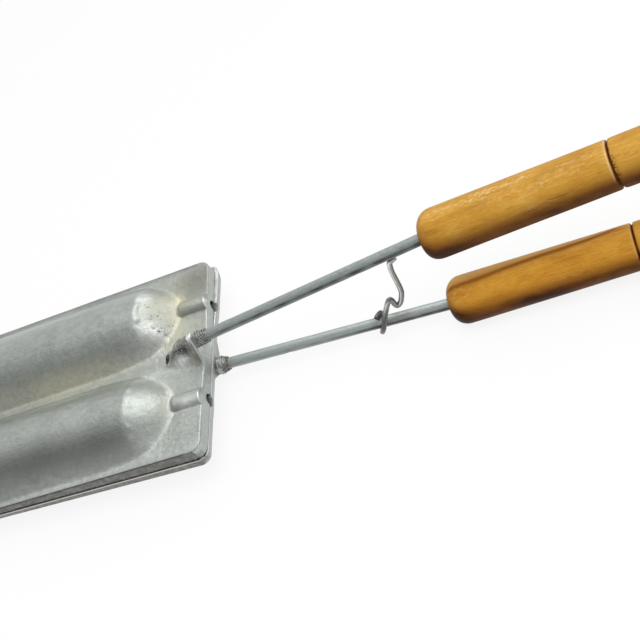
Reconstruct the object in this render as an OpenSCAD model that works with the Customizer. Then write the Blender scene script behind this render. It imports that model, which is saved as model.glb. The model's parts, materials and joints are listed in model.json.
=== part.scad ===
// Hand-held baking iron: two cast halves with long troughs, hinged at the far end,
// carried on steel rods with turned wooden grips and held shut by a wire latch.
// X runs along the troughs towards the grips, Y across them, Z up.

/* [Plates] */
// Length of each cast half along the troughs
plate_len = 185; // [165:1:230]
// Width of each half over its outer face
plate_w = 122; // [116:1:150]
// Thickness of each half at the handle end
rim_t = 7.2; // [6:0.1:9]
// Thickness of the upper half at the hinge end
upper_far_t = 3.4; // [3:0.1:6]
// Thickness of the lower half at the hinge end
lower_far_t = 4.6; // [3:0.1:6]
// How far the seam edge stands out beyond the outer face at the sides
side_draft = 0.7; // [0.2:0.1:1.5]
// How far the seam edge stands out at the upper half's handle end
upper_end_draft = 0.6; // [0.2:0.1:2]
// How far the seam edge stands out at the lower half's handle end
lower_end_draft = 1.9; // [0.2:0.1:2.5]
// Radius of the plates' corners in plan
corner_r = 7; // [4:0.5:12]
// Gap between the closed halves
seam_gap = 0.4; // [0.2:0.1:0.8]

/* [Troughs] */
// Distance between the centre lines of the two troughs
trough_pitch = 60; // [56:0.5:66]
// Width of a bulge where it leaves the outer face
trough_w = 47; // [38:0.5:52]
// Height of a bulge above the outer face
trough_h = 12.5; // [9:0.5:16]
// Wall of the casting over a trough
wall = 3.5; // [2.5:0.1:5]
// Flat left between the handle end and a bulge
near_margin = 18.5; // [16:0.5:26]
// Flat left between the hinge end and a bulge
far_margin = 20; // [14:0.5:30]

/* [Stick channels] */
// Radius of the hole for a stick
stick_r = 3; // [2.2:0.1:3.6]
// Radius of the ridge cast over a stick channel
ridge_r = 4.3; // [3.5:0.1:5.5]
// Height of that ridge above the outer face
ridge_h = 4.4; // [3:0.1:5]
// How far both channels sit off the troughs' centre lines, towards the far side
stick_shift = 1.2; // [0:0.1:2]

/* [Rod bosses] */
// Length of a boss along the plate
boss_len = 22; // [20:0.5:28]
// Half of a boss's width at the handle end
boss_half_w = 9; // [8:0.5:12]
// Height of a boss's crest above the rod's axis
boss_rise = 5.5; // [4.8:0.1:7]
// Width of the flat along the crest
crest_w = 2.4; // [1:0.1:4]

/* [Rods] */
// Radius of a rod
rod_r = 3; // [2.5:0.1:3.5]
// Height of the upper rod's axis over the seam, at the handle end
upper_rod_z = 15.2; // [14:0.1:18]
// Depth of the lower rod's axis under the seam, at the handle end
lower_rod_z = 10.5; // [9.5:0.1:13]
// How far both rods sit off the plates' centre line
rod_y = 0.5; // [0:0.1:2]
// Length of the upper rod between the plate and its grip
upper_rod_len = 134; // [110:1:170]
// Length of the lower rod between the plate and its grip
lower_rod_len = 128; // [105:1:165]
// Rise of the upper rod, in degrees
upper_rod_rise = 7.5; // [6:0.1:10]
// Rise of the lower rod, in degrees
lower_rod_rise = -1.7; // [-3:0.1:0]
// How far the upper rod turns to the far side, in degrees
upper_rod_turn = 1; // [-2:0.1:2]
// How far the lower rod turns to the far side, in degrees
lower_rod_turn = -1; // [-2:0.1:2]
// Depth of the threaded end in its boss
thread_in = 12; // [9:0.5:13]
// Length of thread left outside the boss
thread_out = 6; // [3:0.5:10]
// Pitch of the thread
thread_pitch = 1; // [0.8:0.1:1.2]
// Depth of the thread
thread_depth = 0.5; // [0.3:0.05:0.7]
// Radius of the tang that runs through a grip
tang_r = 2.5; // [2:0.1:2.8]
// Gap between a rod's shoulder and its grip
grip_seat = 0.2; // [0.15:0.05:0.5]
// Radius of the peened head at the end of a rod
head_r = 4.6; // [4:0.1:6]
// Height of that head
head_h = 2; // [1.2:0.1:3]
// Clearance of a rod in its boss, and of a tang in its grip and washer
rod_fit = 0.05; // [0.02:0.01:0.1]

/* [Grips] */
// Length of a grip
grip_len = 115; // [100:1:140]
// Largest radius of a grip, behind its shoulder
grip_r = 12.3; // [10.5:0.1:14]
// Radius of a grip beside its groove
grip_neck_r = 11.6; // [10:0.1:13]
// Radius of the rounded shoulder that faces the plates
shoulder_r = 8; // [5:0.5:9]
// Distance from the shoulder's face to the middle of the groove
groove_at = 93.7; // [85:0.1:96]
// Width of the groove
groove_w = 1.8; // [1:0.1:3]
// Depth of the groove
groove_d = 1.2; // [0.6:0.1:2]
// Radius of the rounding at a grip's end
end_round = 4.5; // [2:0.5:6]
// Rise of the upper grip, in degrees
upper_grip_rise = 5.5; // [3:0.1:9]
// How far the upper grip turns to the far side, in degrees
upper_grip_turn = -1.1; // [-2:0.1:2]
// Rise of the lower grip, in degrees
lower_grip_rise = 0; // [-2:0.1:1]
// How far the lower grip turns to the far side, in degrees
lower_grip_turn = 0.3; // [-2:0.1:2]
// Radius of a washer at a grip's end
washer_r = 6.5; // [5.5:0.1:7.5]
// Thickness of a washer
washer_t = 1.2; // [0.8:0.1:2]

/* [Hinge] */
// Radius of the hinge pin
pin_r = 2; // [1.5:0.1:2.5]
// Radius of a knuckle round the pin
knuckle_r = 5; // [4:0.1:6]
// Width of the upper half's knuckle
upper_knuckle_w = 22; // [14:1:30]
// Width of each of the lower half's two knuckles
lower_knuckle_w = 11; // [7:1:16]
// Side gap between two knuckles
knuckle_gap = 0.4; // [0.3:0.1:1]
// Gap between a knuckle and the edge of the other half
swing_gap = 0.8; // [0.5:0.1:2]
// Clearance of the pin in the knuckles
pin_fit = 0.06; // [0.03:0.01:0.1]
// Radius of the pin's heads
pin_head_r = 3.6; // [3:0.1:4.2]
// Height of the pin's heads
pin_head_h = 1.8; // [1:0.1:2.5]

/* [Latch] */
// Radius of the latch's wire
wire_r = 1.4; // [1.1:0.1:1.6]
// Distance of the latch's eye from the handle end, along the lower rod
latch_at = 91; // [70:1:100]
// Clearance of the eye on the rod, and of the tip under the upper rod
latch_fit = 0.3; // [0.3:0.05:0.6]

/* [Hidden] */
$fn = 64;

// Arc of a bulge: its radius and the height of its centre over the seam
bulge_r = (pow(trough_w / 2, 2) + pow(trough_h, 2)) / (2 * trough_h);
bulge_z = rim_t + trough_h - bulge_r;
near_end_x = -(near_margin + trough_w / 2);
far_end_x = -(plate_len - far_margin - trough_w / 2);

// The hinge line lies on the seam, beyond the plates' far edge
pin_x = -(plate_len + side_draft + knuckle_r + swing_gap);
pin_len = upper_knuckle_w + 2 * (lower_knuckle_w + knuckle_gap);

// Unit vector of a direction given by its rise and its turn
function heading(rise, turn) = [cos(rise) * cos(turn), cos(rise) * sin(turn), sin(rise)];

upper_start = [0, rod_y, upper_rod_z];
lower_start = [0, rod_y, -lower_rod_z];
upper_end = upper_start + upper_rod_len * heading(upper_rod_rise, upper_rod_turn);
lower_end = lower_start + lower_rod_len * heading(lower_rod_rise, lower_rod_turn);
upper_grip_at = upper_end + grip_seat * heading(upper_grip_rise, upper_grip_turn);
lower_grip_at = lower_end + grip_seat * heading(lower_grip_rise, lower_grip_turn);
stem_len = grip_len + washer_t + head_h;
upper_tip = upper_grip_at + stem_len * heading(upper_grip_rise, upper_grip_turn);
lower_tip = lower_grip_at + stem_len * heading(lower_grip_rise, lower_grip_turn);

// The iron lies on the far ends of its lower bulges and on the lower grip's shoulder.
// rest_turn is the angle of the line that touches both arcs from below.
shoulder_x = lower_grip_at[0] + shoulder_r * cos(lower_grip_rise)
    + (grip_r - shoulder_r) * sin(lower_grip_rise);
shoulder_z = lower_grip_at[2] + shoulder_r * sin(lower_grip_rise)
    - (grip_r - shoulder_r) * cos(lower_grip_rise);
span_x = shoulder_x - far_end_x;
span_z = shoulder_z + bulge_z;
rest_turn = atan2(span_z, span_x) - asin((shoulder_r - bulge_r) / norm([span_x, span_z]));
function lying_x(p) = p[0] * cos(rest_turn) + p[2] * sin(rest_turn);
function lying_z(p) = -p[0] * sin(rest_turn) + p[2] * cos(rest_turn);
rest_z = bulge_r - lying_z([far_end_x, 0, -bulge_z]);
least_x = lying_x([pin_x, 0, 0]) - knuckle_r;
most_x = max(lying_x(upper_tip), lying_x(lower_tip));

// Puts a piece from the seam's frame into the frame of the iron lying on a table
module lying() {
    translate([-(least_x + most_x) / 2, 0, rest_z]) rotate([0, rest_turn, 0]) children();
}

// Turns +X into a rod's or a grip's direction
module headed(at, rise, turn) {
    translate(at) rotate([0, -rise, turn]) children();
}

module bar_x(r, x0, x1) {
    translate([x0, 0, 0]) rotate([0, 90, 0]) cylinder(h = x1 - x0, r = r);
}

// A long trough shape with ball ends, on the arc's centre line
module trough(r) {
    for (side = [-1, 1]) translate([0, side * trough_pitch / 2, bulge_z]) {
        bar_x(r, far_end_x, near_end_x);
        translate([far_end_x, 0, 0]) sphere(r = r);
        translate([near_end_x, 0, 0]) sphere(r = r);
    }
}

module plan(edge_x) {
    half_w = plate_w / 2 + side_draft;
    x0 = -plate_len - side_draft;
    for (x = [x0 + corner_r, edge_x - corner_r], y = [corner_r - half_w, half_w - corner_r])
        translate([x, y]) circle(r = corner_r);
    translate([x0 + corner_r, -half_w]) square([edge_x - x0 - 2 * corner_r, 2 * half_w]);
    translate([x0, corner_r - half_w]) square([edge_x - x0, 2 * (half_w - corner_r)]);
}

// The flat body of one half, which thins towards the hinge end
module slab(far_t, end_draft) {
    floor_z = seam_gap / 2;
    edge_x = upper_end_draft;
    outer_x = edge_x - end_draft;
    half_w = plate_w / 2;
    intersection() {
        linear_extrude(rim_t) plan(edge_x);
        rotate([90, 0, 0]) linear_extrude(2 * plate_w, center = true) polygon([
            [edge_x, floor_z], [outer_x, rim_t],
            [-plate_len, far_t], [-plate_len - side_draft, floor_z]]);
        rotate([90, 0, 90]) linear_extrude(3 * plate_len, center = true) polygon([
            [-half_w - side_draft, floor_z], [half_w + side_draft, floor_z],
            [half_w, rim_t], [-half_w, rim_t]]);
    }
}

// Gabled mound that holds a rod's thread
module boss(rod_z, outer_x) {
    crest = rod_z + boss_rise;
    rise = crest - rim_t;
    translate([outer_x, 0, 0]) intersection() {
        rotate([90, 0, 90]) translate([rod_y, 0, -boss_len]) linear_extrude(boss_len) polygon([
            [-boss_half_w, seam_gap], [boss_half_w, seam_gap], [boss_half_w, rim_t],
            [crest_w / 2, crest], [-crest_w / 2, crest], [-boss_half_w, rim_t]]);
        rotate([90, 0, 0]) linear_extrude(4 * boss_half_w, center = true) polygon([
            [0, seam_gap], [0, crest], [-0.45 * boss_len, rim_t + 0.76 * rise],
            [-0.8 * boss_len, rim_t + 0.3 * rise], [-boss_len, rim_t - 1], [-boss_len, seam_gap]]);
        translate([0, rod_y, 0]) linear_extrude(2 * crest) polygon([
            [0, -boss_half_w], [-0.6 * boss_len, -0.85 * boss_half_w], [-boss_len, -0.3 * boss_half_w],
            [-boss_len, 0.3 * boss_half_w], [-0.6 * boss_len, 0.85 * boss_half_w], [0, boss_half_w]]);
    }
}

// Ridges over the stick channels, from the bulges to the handle end
module ridges(outer_x) {
    for (side = [-1, 1])
        translate([0, side * trough_pitch / 2 + stick_shift, rim_t + ridge_h - ridge_r])
            bar_x(ridge_r, near_end_x, outer_x);
}

// One cast half without its knuckles, drawn above the seam
module cast_half(far_t, end_draft, rod_z, rod_rise, rod_turn) {
    outer_x = upper_end_draft - end_draft;
    difference() {
        union() {
            slab(far_t, end_draft);
            intersection() {
                union() {
                    trough(bulge_r);
                    ridges(outer_x);
                }
                translate([-1.5 * plate_len, -plate_w, seam_gap / 2])
                    cube([2 * plate_len, 2 * plate_w, 2 * bulge_r]);
            }
            boss(rod_z, outer_x);
        }
        trough(bulge_r - wall);
        for (side = [-1, 1]) translate([0, side * trough_pitch / 2 + stick_shift, 0])
            bar_x(stick_r, near_end_x, 2 * corner_r);
        headed([0, rod_y, rod_z], rod_rise, rod_turn) bar_x(rod_r + rod_fit, -thread_in, boss_len);
    }
}

// One knuckle round the hinge pin and the arm that joins it to its half, above the seam
module knuckle(w, far_t) {
    difference() {
        rotate([90, 0, 0]) linear_extrude(w, center = true) union() {
            translate([pin_x, 0]) circle(r = knuckle_r);
            polygon([[pin_x, seam_gap / 2], [-plate_len + 1, seam_gap / 2],
                [-plate_len + 1, far_t], [pin_x, knuckle_r]]);
        }
        translate([pin_x, 0, 0]) rotate([90, 0, 0])
            cylinder(h = 2 * w, r = pin_r + pin_fit, center = true);
    }
}

module upper_plate() {
    color("#a9adab") lying() {
        cast_half(upper_far_t, upper_end_draft, upper_rod_z, upper_rod_rise, upper_rod_turn);
        knuckle(upper_knuckle_w, upper_far_t);
    }
}

module lower_plate() {
    color("#9fa3a1") lying() mirror([0, 0, 1]) {
        cast_half(lower_far_t, lower_end_draft, lower_rod_z, -lower_rod_rise, lower_rod_turn);
        for (side = [-1, 1])
            translate([0, side * (upper_knuckle_w + lower_knuckle_w + 2 * knuckle_gap) / 2, 0])
                knuckle(lower_knuckle_w, lower_far_t);
    }
}

// A low round head on +X, standing on the plane x = 0
module dome(r, h) {
    ball_r = (r * r + h * h) / (2 * h);
    rotate([0, 90, 0]) rotate_extrude() intersection() {
        translate([0, h - ball_r]) circle(r = ball_r);
        square([r, h]);
    }
}

module hinge_pin() {
    color("#8a8c8c") lying() translate([pin_x, 0, 0]) rotate([0, 0, 90]) {
        bar_x(pin_r, -pin_len / 2, pin_len / 2);
        for (side = [0, 1]) mirror([side, 0, 0])
            translate([pin_len / 2, 0, 0]) dome(pin_head_r, pin_head_h);
    }
}

// A rod along +X: the threaded stretch through the boss's face, then the plain bar
module shaft(len) {
    turns = floor((thread_in + thread_out) / thread_pitch);
    zigzag = [for (i = [0 : turns - 1], k = [0, 1])
        [rod_r - (1 - k) * thread_depth, -thread_in + (i + 0.5 * k) * thread_pitch]];
    rotate([0, 90, 0]) rotate_extrude()
        polygon(concat([[0, -thread_in]], zigzag, [[rod_r, len], [0, len]]));
}

// A whole rod: the shaft up to its shoulder, then the tang on the grip's own line
module rod(at, rise, turn, len, grip_at, grip_rise, grip_turn) {
    headed(at, rise, turn) shaft(len);
    headed(grip_at, grip_rise, grip_turn) {
        bar_x(tang_r, -rod_r, stem_len - head_h / 2);
        translate([grip_len + washer_t, 0, 0]) dome(head_r, head_h);
    }
}

module upper_rod() {
    color("#8f979a") lying() rod(upper_start, upper_rod_rise, upper_rod_turn, upper_rod_len,
        upper_grip_at, upper_grip_rise, upper_grip_turn);
}

module lower_rod() {
    color("#8f979a") lying() rod(lower_start, lower_rod_rise, lower_rod_turn, lower_rod_len,
        lower_grip_at, lower_grip_rise, lower_grip_turn);
}

// Turned grip along +X, with a round shoulder, a ring groove and a rounded end
module grip() {
    rotate([0, 90, 0]) difference() {
        rotate_extrude() difference() {
            union() {
                square([grip_r - shoulder_r, shoulder_r]);
                translate([grip_r - shoulder_r, shoulder_r]) circle(r = shoulder_r);
                polygon([[0, shoulder_r], [grip_r, shoulder_r], [grip_neck_r, groove_at],
                    [grip_neck_r, grip_len - end_round], [0, grip_len - end_round]]);
                translate([grip_neck_r - end_round, grip_len - end_round]) circle(r = end_round);
                translate([0, groove_at]) square([grip_neck_r - end_round, grip_len - groove_at]);
            }
            translate([grip_neck_r, groove_at])
                polygon([[-groove_d, 0], [0.5, -groove_w / 2], [0.5, groove_w / 2]]);
            translate([-2 * grip_r, -grip_len]) square([2 * grip_r, 3 * grip_len]);
        }
        translate([0, 0, -1]) cylinder(h = grip_len + 2, r = tang_r + rod_fit);
    }
}

module upper_grip() {
    color("#c98a35") lying() headed(upper_grip_at, upper_grip_rise, upper_grip_turn) grip();
}

module lower_grip() {
    color("#c98a35") lying() headed(lower_grip_at, lower_grip_rise, lower_grip_turn) grip();
}

module washer() {
    translate([grip_len, 0, 0]) rotate([0, 90, 0]) difference() {
        cylinder(h = washer_t, r = washer_r);
        translate([0, 0, -1]) cylinder(h = washer_t + 2, r = tang_r + rod_fit);
    }
}

module upper_washer() {
    color("#9a9c9c") lying() headed(upper_grip_at, upper_grip_rise, upper_grip_turn) washer();
}

module lower_washer() {
    color("#9a9c9c") lying() headed(lower_grip_at, lower_grip_rise, lower_grip_turn) washer();
}

// The latch's centre line, from its eye round the lower rod to the tip under the upper rod,
// in the lower rod's own frame: x along the rod from the eye, y to the far side, z up
eye_r = rod_r + latch_fit + wire_r;
eye = [for (a = [50 : -23 : -157]) [1.2 * sin(a) + 0.6, eye_r * cos(a), eye_r * sin(a)]];
stem = [[2.2, -4.9, 1.5], [6.5, -4.1, 10.2], [10.6, -3.8, 17.4], [12.5, -3.2, 19.4], [13.2, -2.6, 17.6],
    [13.2, -2.2, 14], [14, -1.8, 12], [16.2, -1.2, 13.6], [18.6, -0.6, 18.6], [19.2, 0.2, 22],
    [19.5, 1, 27], [20.2, 1.6, 33]];
// The tip stops under the upper rod and lies along it
tip_x = 21;
tip_at = latch_at + tip_x;
apart = upper_start + tip_at * heading(upper_rod_rise, upper_rod_turn) / cos(upper_rod_rise)
    - lower_start - tip_at * heading(lower_rod_rise, lower_rod_turn);
tip_y = 0.4 * apart[1];
tip_z = apart[2] - sqrt(pow(eye_r + 0.1, 2) - pow(apart[1] - tip_y, 2));
tip_slope = tan(upper_rod_rise - lower_rod_rise);
tip = [[tip_x, tip_y, tip_z - 0.6], [tip_x + 1.6, tip_y, tip_z + 1.2 * tip_slope],
    [tip_x + 4, tip_y, tip_z + 3.4 * tip_slope]];
route = concat(eye, stem, tip);

function unit(v) = v / norm(v);
// Point at t between b and c, on a smooth curve through a, b, c and d
function between(a, b, c, d, t) = 0.5 * (2 * b + (c - a) * t
    + (2 * a - 5 * b + 4 * c - d) * t * t + (3 * b - a - 3 * c + d) * t * t * t);
steps = 3;
last = len(route) - 1;
curve = concat([for (i = [0 : last - 1], k = [0 : steps - 1])
    between(route[max(i - 1, 0)], route[i], route[i + 1], route[min(i + 2, last)], k / steps)],
    [route[last]]);
count = len(curve);
along = [for (i = [0 : count - 1]) unit(curve[min(i + 1, count - 1)] - curve[max(i - 1, 0)])];
// Side vectors that turn as little as they can from ring to ring
side_of = [for (i = 0, s = [1, 0, 0]; i < count; i = i + 1,
    s = i < count ? s - (s * along[i]) * along[i] : s) unit(s - (s * along[i]) * along[i])];
ring_n = 10;

module wire() {
    points = [for (i = [0 : count - 1], k = [0 : ring_n - 1])
        let (s = side_of[i], n = cross(along[i], s), a = 360 * k / ring_n)
        curve[i] + wire_r * (cos(a) * s + sin(a) * n)];
    walls = [for (i = [0 : count - 2], k = [0 : ring_n - 1])
        let (a = i * ring_n + k, b = i * ring_n + (k + 1) % ring_n)
        [a, a + ring_n, b + ring_n, b]];
    start = [for (k = [0 : ring_n - 1]) k];
    finish = [for (k = [ring_n - 1 : -1 : 0]) (count - 1) * ring_n + k];
    polyhedron(points, concat([start], walls, [finish]));
}

module latch_wire() {
    color("#8a8f91") lying() headed(lower_start, lower_rod_rise, lower_rod_turn)
        translate([latch_at, 0, 0]) wire();
}

upper_plate();
lower_plate();
hinge_pin();
upper_rod();
lower_rod();
upper_grip();
lower_grip();
upper_washer();
lower_washer();
latch_wire();
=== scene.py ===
import json
from bisect import bisect
from itertools import accumulate
from math import acos, asin, atan2, cos, degrees, exp, hypot, pi, radians, sin, sqrt

import bmesh
import bpy
from mathutils import Euler, Matrix, Vector, noise


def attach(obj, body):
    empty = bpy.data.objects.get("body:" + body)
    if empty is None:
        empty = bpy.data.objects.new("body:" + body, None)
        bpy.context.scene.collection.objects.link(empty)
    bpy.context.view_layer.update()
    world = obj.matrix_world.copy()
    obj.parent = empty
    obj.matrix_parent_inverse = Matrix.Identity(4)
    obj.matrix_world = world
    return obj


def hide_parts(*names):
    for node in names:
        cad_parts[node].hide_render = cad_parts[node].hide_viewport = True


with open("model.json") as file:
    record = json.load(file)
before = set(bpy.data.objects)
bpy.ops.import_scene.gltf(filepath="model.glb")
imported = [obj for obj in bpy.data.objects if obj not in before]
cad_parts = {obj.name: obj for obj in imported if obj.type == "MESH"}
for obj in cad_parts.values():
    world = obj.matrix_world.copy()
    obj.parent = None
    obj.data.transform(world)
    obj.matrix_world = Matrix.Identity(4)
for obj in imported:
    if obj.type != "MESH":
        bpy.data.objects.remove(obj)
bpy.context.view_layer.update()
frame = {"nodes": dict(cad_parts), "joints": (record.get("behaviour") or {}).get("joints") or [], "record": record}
record = frame["record"]
scene = bpy.context.scene

# Sizes in the dictionaries are millimetres in the seam's own frame: x = 0 at the plates'
# handle end, z = 0 on the seam, y to the far side. toRow lays the iron on the table, in metres.
plates = dict(
    length=185, width=122, rim=7.2, sideDraft=0.7, edge=0.6, corner=7, gap=0.4,
    pitch=60, bulgeWidth=47, bulgeHeight=12.5, wall=3.5, nearMargin=18.5, farMargin=20,
    stickRadius=3, ridgeRadius=4.3, ridgeHeight=4.4, stickShift=1.2,
    endCrease=12, footFillet=3.5, sideFillet=8.5, ridgeFillet=5.5, rimRound=0.8, lipRound=(0.7, 0.35), columns=206, rows=176)
bosses = dict(length=22, rise=5.5, crest=2.4, fillet=2.8, lump=0.9, lean=0.13)
# the halves don't meet quite true: farOut moves the handle end's far part, at the outer face and the seam
upperHalf = dict(name="upper_casting", node="upper_plate", body="upper_half", up=1, farThick=3.4, seed=3,
                 draft=0.6, rodHeight=15.2, rodRise=7.5, rodTurn=1, corner=7, knuckles=[(0, 22)],
                 bossReach=(10.2, 9.5), middleOut=0.8, farOut=(-0.2, -0.9), stickOff=1.1, mouth=0.35,
                 ridgeStop=(2, 1), collarOut=7, collarRadius=4.0, collarTaper=0.5)
lowerHalf = dict(name="lower_casting", node="lower_plate", body="lower_half", up=-1, farThick=4.6, seed=11,
                 draft=1.9, rodHeight=10.5, rodRise=1.7, rodTurn=-1, corner=5.5,
                 knuckles=[(-16.9, 11), (16.9, 11)],
                 bossReach=(10.5, 13), middleOut=0, farOut=(1.0, 1.0), stickOff=0.5, mouth=0,
                 ridgeStop=(-3, -8), collarOut=4.6, collarRadius=4.5, collarTaper=1.1)
rods = dict(radius=3, side=0.5, threadIn=12, threadOut=6, pitch=1, depth=0.5, tang=2.5,
            seat=0.2, headRadius=4.6, headHeight=2, fit=0.05)
# each bar: the angle and width round it and the strength along it of a painted dark band of shade, and how much painted
# light lightens it
upperRod = dict(name="upper_bar", node="upper_rod", body="upper_half", height=15.2, length=134,
                rise=7.5, turn=1, gripRise=5.5, gripTurn=-1.1, seed=5, nick=None,
                stains=0, painted_light=0, shadeAngle=(153, 7), line=[(6, 0.4), (30, 0.9), (134, 1.1), (136, 0)])
lowerRod = dict(name="lower_bar", node="lower_rod", body="lower_half", height=-10.5, length=128,
                rise=-1.7, turn=-1, gripRise=0, gripTurn=0.3, seed=8, nick=(39, 215, 1.1, 0.55),
                stains=1.2, painted_light=0.4, shadeAngle=(156, 5), line=[(6, 0.4), (60, 0.5), (90, 1.2), (128, 1.1), (130, 0)])
grips = dict(length=115, radius=12.3, neck=11.6, shoulder=8, grooveAt=93.7, grooveWidth=1.8,
             grooveDepth=1.2, endRound=4.5, washer=1.2, washerRadius=6.5)
hinge = dict(pin=2, knuckle=5, swing=0.8, fit=0.06, pinLength=44.8, headRadius=3.6, headHeight=1.8)
latch = dict(wire=1.4, at=91, fit=0.3)

# The seam's frame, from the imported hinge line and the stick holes' axis
pinX = -(plates["length"] + plates["sideDraft"] + hinge["knuckle"] + hinge["swing"])
holeAxis = Vector(record["mounts"][0]["axis"])
lieTurn = Matrix.Rotation(-atan2(holeAxis.z, holeAxis.x), 4, "Y")
pinAt = Vector(frame["joints"][0]["pos_m"])
toRow = Matrix.Translation(pinAt - lieTurn @ Vector((pinX * 0.001, 0, 0))) @ lieTurn @ Matrix.Scale(0.001, 4)
print("frame loaded,", len(frame["nodes"]), "nodes")


def heading(rise, turn):
    r, t = radians(rise), radians(turn)
    return Vector((cos(r) * cos(t), cos(r) * sin(t), sin(r)))


def headed(at, rise, turn):
    return Matrix.Translation(at) @ Matrix.Rotation(radians(turn), 4, "Z") @ Matrix.Rotation(radians(-rise), 4, "Y")


def smoothMax(a, b, k):
    near = max(k - abs(a - b), 0) / k
    return max(a, b) + near * near * k / 4


def smoothMin(a, b, k):
    return -smoothMax(-a, -b, k)


def between(x, points):
    # straight lines through the points (x, value)
    i = min(max(bisect([p[0] for p in points], x), 1), len(points) - 1)
    (a, va), (b, vb) = points[i - 1], points[i]
    return va + (vb - va) * min(max((x - a) / (b - a), 0), 1)


def blob(x, y, spot):
    # a soft round stain or dent, 1 in its middle: (x, y, half length, half width, amount)
    return spot[4] * exp(-((x - spot[0]) / spot[2]) ** 2 - ((y - spot[1]) / spot[3]) ** 2)


def gridLines(count, density):
    # count + 1 places from 0 to 1, closer together where density is high
    fine = 600
    total = [0] + list(accumulate(density((i + 0.5) / fine) for i in range(fine)))
    return [min(bisect(total, total[-1] * i / count * (1 - 1e-9)), fine) / fine for i in range(count + 1)]


def lathe(bm, profile, steps, closed=False):
    # turns an outline of (x, radius) points round the x axis and returns the new vertices
    before = set(bm.verts)
    verts = [bm.verts.new((x, r, 0)) for x, r in profile]
    edges = [bm.edges.new(pair) for pair in zip(verts, verts[1:])]
    if closed:
        edges.append(bm.edges.new((verts[-1], verts[0])))
    bmesh.ops.spin(bm, geom=verts + edges, axis=(1, 0, 0), angle=2 * pi, steps=steps, use_merge=True)
    bmesh.ops.remove_doubles(bm, verts=[v for v in bm.verts if v not in before], dist=1e-4)
    return [v for v in bm.verts if v not in before]


def around(co):
    # angle round the x axis in degrees, 0 on the far side and 90 on top
    return degrees(atan2(co.z, co.y)) % 360


def swell(v, amount):
    # moves a vertex out from the x axis
    r = hypot(v.co.y, v.co.z)
    if r > 0.01:
        v.co.y *= (r + amount) / r
        v.co.z *= (r + amount) / r


def ramp(x, a, b):
    t = min(max((x - a) / (b - a), 0), 1)
    return t * t * (3 - 2 * t)


def paint(bm, name, amount):
    layer = bm.verts.layers.float.new(name)
    for v in bm.verts:
        v[layer] = amount(v.co)


def finishPiece(bm, name, body, node, material, sharp=45):
    bmesh.ops.recalc_face_normals(bm, faces=bm.faces)
    mesh = bpy.data.meshes.new(name)
    bm.to_mesh(mesh)
    bm.free()
    for face in mesh.polygons:
        face.use_smooth = True
    mesh.set_sharp_from_angle(angle=radians(sharp))
    mesh.materials.append(material)
    piece = bpy.data.objects.new(name, mesh)
    scene.collection.objects.link(piece)
    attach(piece, body)
    if node:
        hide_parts(node)
    print(name, len(mesh.polygons), "faces")
    return piece


# nodes of a material, one call each
def nodeMaker(material):
    tree = material.node_tree

    def add(kind, links=(), **values):
        node = tree.nodes.new("ShaderNode" + kind)
        for name, value in values.items():
            if name[0].isupper():
                node.inputs[name.replace("_", " ")].default_value = value
            else:
                setattr(node, name, value)
        for source, socket in links:
            tree.links.new(source, node.inputs[socket])
        return node
    return add


# the cast halves
bulgeRadius = (plates["bulgeWidth"] ** 2 / 4 + plates["bulgeHeight"] ** 2) / (2 * plates["bulgeHeight"])
bulgeLevel = plates["rim"] + plates["bulgeHeight"] - bulgeRadius
nearEnd = -(plates["nearMargin"] + plates["bulgeWidth"] / 2)
farEnd = -(plates["length"] - plates["farMargin"] - plates["bulgeWidth"] / 2)
pits = [(-29.2, 19.4, 0.7, 0.7, 0.45), (-26.9, 17.5, 0.8, 0.6, 0.5), (-24.3, 16, 0.7, 0.6, 0.45),
        (-27.6, 20.6, 0.5, 0.5, 0.35), (-32, 32.9, 0.8, 0.7, 0.4), (-33.8, 34.6, 0.6, 0.6, 0.35),
        (-30.4, 24.5, 0.6, 0.6, 0.3), (-23, 0.9, 0.9, 1.9, 1.6), (-41, -12.6, 0.8, 0.5, 0.3)]


def barrel(x, y, side, radius):
    # height of a trough's arc; its round ends start with a soft crease on top and to the far side
    ball = plates["bulgeWidth"] / 2
    across = y - side * plates["pitch"] / 2
    beyond = max(x - nearEnd, farEnd - x, 0)
    crease = plates["endCrease"] * ramp(across, -22 + 3 * side, -2)
    uneven = 1 + 0.5 * noise.noise(Vector((x * 0.08, y * 0.22, 9)))
    started = crease * ramp(beyond * uneven, 1.4 + 0.9 * side, 6.7)
    away = started + beyond * (hypot(ball, crease) - crease) / ball
    return bulgeLevel + sqrt(max(radius ** 2 + started ** 2 - away ** 2 - across ** 2, 0))


def pitted(x, y):
    # small casting holes, single ones and a scatter over the far bulge's end
    scatter = noise.noise(Vector((x * 1.15, y * 1.15, 6))) - 0.3
    return sum(blob(x, y, pit) for pit in pits) + 1.6 * max(scatter, 0) * min(blob(x, y, (-26, 20, 7, 12, 1.3)), 1)


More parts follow.
